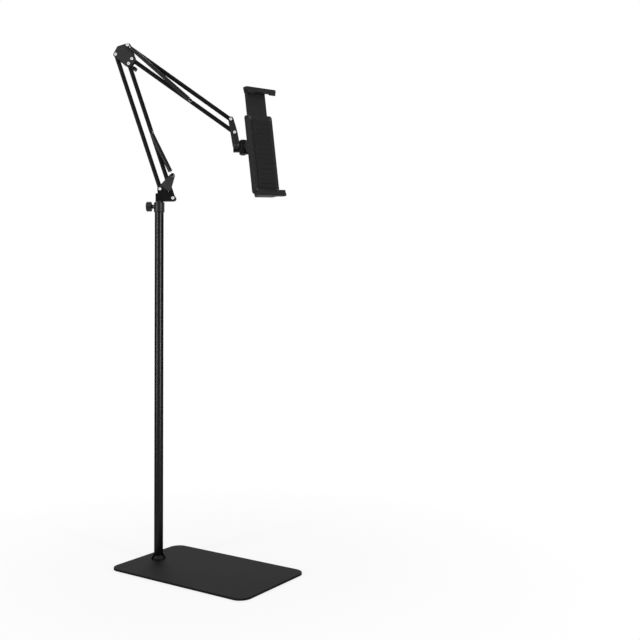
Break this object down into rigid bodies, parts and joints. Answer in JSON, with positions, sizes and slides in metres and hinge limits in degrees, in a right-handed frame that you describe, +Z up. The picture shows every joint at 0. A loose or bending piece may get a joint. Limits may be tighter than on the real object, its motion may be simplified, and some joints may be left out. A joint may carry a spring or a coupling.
{
  "type": "tablet floor stand",
  "caption": "Floor stand with a flat base, telescoping pole and a spring-balanced parallel-bar arm that holds a tablet in an adjustable clamp on a ball joint.",
  "frame": {"origin": "middle of the base's underside, on the floor", "axes": "+Z up, +X along the long side of the base from the pole towards the tablet, +Y across it"},
  "size_m": [0.3364, 0.2135, 0.9404],
  "materials": {
    "base_paint": "fine textured matte black powder coat",
    "anti_slip_rubber": "matte foam rubber",
    "gloss_paint": "smooth gloss black paint",
    "arm_paint": "satin black paint",
    "plate_paint": "satin black paint on stamped steel",
    "fitting_plastic": "satin moulded black plastic",
    "clamp_plastic": "fine textured moulded black plastic",
    "slide_plastic": "plain dark acetal",
    "sleeve_plastic": "glossy black plastic tube",
    "pad_rubber": "matte silicone rubber",
    "bright_steel": "bright zinc plate",
    "dark_steel": "black oxide",
    "spring_wire": "bright drawn wire",
    "ball_steel": "blackened steel, polished ball"
  },
  "bodies": {
    "stand": {"base_plate": "base_paint", "anti_slip_sheet": "anti_slip_rubber", "foot_flange": "gloss_paint", "pole_tube": "gloss_paint", "pole_foot_plug": "dark_steel", "base_bolt": "bright_steel", "collar": "fitting_plastic", "collar_bush": "slide_plastic"},
    "collar_knob": {"knob_head": "fitting_plastic", "knob_screw": "bright_steel"},
    "mast": {"mast_tube": "gloss_paint", "mast_guide_ring": "slide_plastic", "thrust_washer": "slide_plastic"},
    "arm_bracket": {"swivel_post": "arm_paint", "bracket_cheek_near": "plate_paint", "bracket_cheek_far": "plate_paint", "bracket_stiffener": "arm_paint", "bracket_rivets": "dark_steel", "bracket_pivot_bolts": "bright_steel", "bracket_lock_nuts": "bright_steel", "lower_spring_anchor": "dark_steel"},
    "lower_rear_bar": {"lower_rear_tube": "arm_paint", "lower_rear_bushes": "slide_plastic"},
    "lower_front_bar": {"lower_front_tube": "arm_paint", "lower_front_bushes": "slide_plastic", "lower_spring_stud": "dark_steel", "lower_spring": "spring_wire", "lower_spring_sleeve": "sleeve_plastic"},
    "elbow": {"elbow_plate_near": "plate_paint", "elbow_plate_far": "plate_paint", "elbow_bolts": "bright_steel", "elbow_lock_nuts": "bright_steel", "elbow_clamp_bolt": "bright_steel"},
    "wing_nut": {"elbow_wing_nut": "fitting_plastic"},
    "upper_top_bar": {"upper_top_tube": "arm_paint", "upper_top_bushes": "slide_plastic"},
    "upper_low_bar": {"upper_low_tube": "arm_paint", "upper_low_bushes": "slide_plastic", "upper_spring_stud": "dark_steel", "upper_spring": "spring_wire", "upper_spring_sleeve": "sleeve_plastic"},
    "end_bracket": {"end_cheek_near": "plate_paint", "end_cheek_far": "plate_paint", "end_bolts": "bright_steel", "end_lock_nuts": "bright_steel", "swivel_block": "arm_paint", "end_rivets": "dark_steel"},
    "head": {"swivel_fork": "arm_paint", "fork_pin": "dark_steel", "ball_stem": "ball_steel"},
    "ball_cup": {"ball_liner": "slide_plastic"},
    "clamp_ring": {"clamp_nut": "clamp_plastic"},
    "tablet_clamp": {"holder_back_shell": "clamp_plastic", "holder_front_cover": "clamp_plastic", "cover_screws": "dark_steel", "grip_pad": "pad_rubber", "lower_jaw": "clamp_plastic", "lower_jaw_pad": "pad_rubber"},
    "upper_jaw": {"jaw_slide": "clamp_plastic", "upper_jaw_pad": "pad_rubber"}
  },
  "joints": [
    {"name": "mast_height", "type": "slide", "parent": "stand", "child": "mast", "axis": [0, 0, 1], "range_m": [0, 0.3]},
    {"name": "collar_knob_turn", "type": "hinge", "parent": "stand", "child": "collar_knob", "pos_m": [-0.1155, 0, 0.6436], "axis": [-0.8192, -0.5736, 0], "continuous": true},
    {"name": "arm_swivel", "type": "hinge", "parent": "mast", "child": "arm_bracket", "pos_m": [-0.1155, 0, 0.653], "axis": [0, 0, 1], "continuous": true},
    {"name": "lower_arm_tilt", "type": "hinge", "parent": "arm_bracket", "child": "lower_rear_bar", "pos_m": [-0.11374, 0.00132, 0.675], "axis": [-0.6018, 0.7986, 0], "range_deg": [-15, 35], "deforming": ["lower_spring", "lower_spring_sleeve"]},
    {"name": "lower_front_follow", "type": "hinge", "parent": "arm_bracket", "child": "lower_front_bar", "pos_m": [-0.09503, 0.01542, 0.6586], "axis": [-0.6018, 0.7986, 0], "range_deg": [-15, 35]},
    {"name": "elbow_level", "type": "hinge", "parent": "lower_rear_bar", "child": "elbow", "pos_m": [-0.17785, -0.04698, 0.91914], "axis": [-0.6018, 0.7986, 0], "range_deg": [-35, 15]},
    {"name": "wing_nut_turn", "type": "hinge", "parent": "elbow", "child": "wing_nut", "pos_m": [-0.15914, -0.03288, 0.90274], "axis": [0.6018, -0.7986, 0], "continuous": true},
    {"name": "upper_arm_tilt", "type": "hinge", "parent": "elbow", "child": "upper_top_bar", "pos_m": [-0.16028, -0.03374, 0.93544], "axis": [-0.6018, 0.7986, 0], "range_deg": [-45, 10], "deforming": ["upper_spring", "upper_spring_sleeve"]},
    {"name": "upper_low_follow", "type": "hinge", "parent": "elbow", "child": "upper_low_bar", "pos_m": [-0.15461, -0.02947, 0.91147], "axis": [-0.6018, 0.7986, 0], "range_deg": [-45, 10]},
    {"name": "end_bracket_level", "type": "hinge", "parent": "upper_top_bar", "child": "end_bracket", "pos_m": [-0.01149, 0.07838, 0.80402], "axis": [-0.6018, 0.7986, 0], "range_deg": [-10, 45]},
    {"name": "head_swivel", "type": "hinge", "parent": "end_bracket", "child": "head", "pos_m": [0.00584, 0.09144, 0.75305], "axis": [0, 0, 1], "range_deg": [-34, 125]},
    {"name": "ball_nod", "type": "hinge", "parent": "head", "child": "ball_cup", "pos_m": [0.03353, 0.08725, 0.75305], "axis": [0.1437, 0.9865, 0.0783], "range_deg": [-23, 30]},
    {"name": "ball_pan", "type": "hinge", "parent": "ball_cup", "child": "clamp_ring", "pos_m": [0.03353, 0.08725, 0.75305], "axis": [0.0805, 0.0672, -0.9945], "range_deg": [-30, 30]},
    {"name": "clamp_roll", "type": "hinge", "parent": "clamp_ring", "child": "tablet_clamp", "pos_m": [0.03353, 0.08725, 0.75305], "axis": [0.9863, -0.1492, 0.0698], "continuous": true},
    {"name": "jaw_opening", "type": "slide", "parent": "tablet_clamp", "child": "upper_jaw", "axis": [-0.0805, -0.0672, 0.9945], "range_m": [-0.038, 0.05]}
  ],
  "couplings": [
    {"joint": "lower_front_follow", "follows": "lower_arm_tilt", "ratio": 1},
    {"joint": "elbow_level", "follows": "lower_arm_tilt", "ratio": -1},
    {"joint": "upper_low_follow", "follows": "upper_arm_tilt", "ratio": 1},
    {"joint": "end_bracket_level", "follows": "upper_arm_tilt", "ratio": -1}
  ]
}
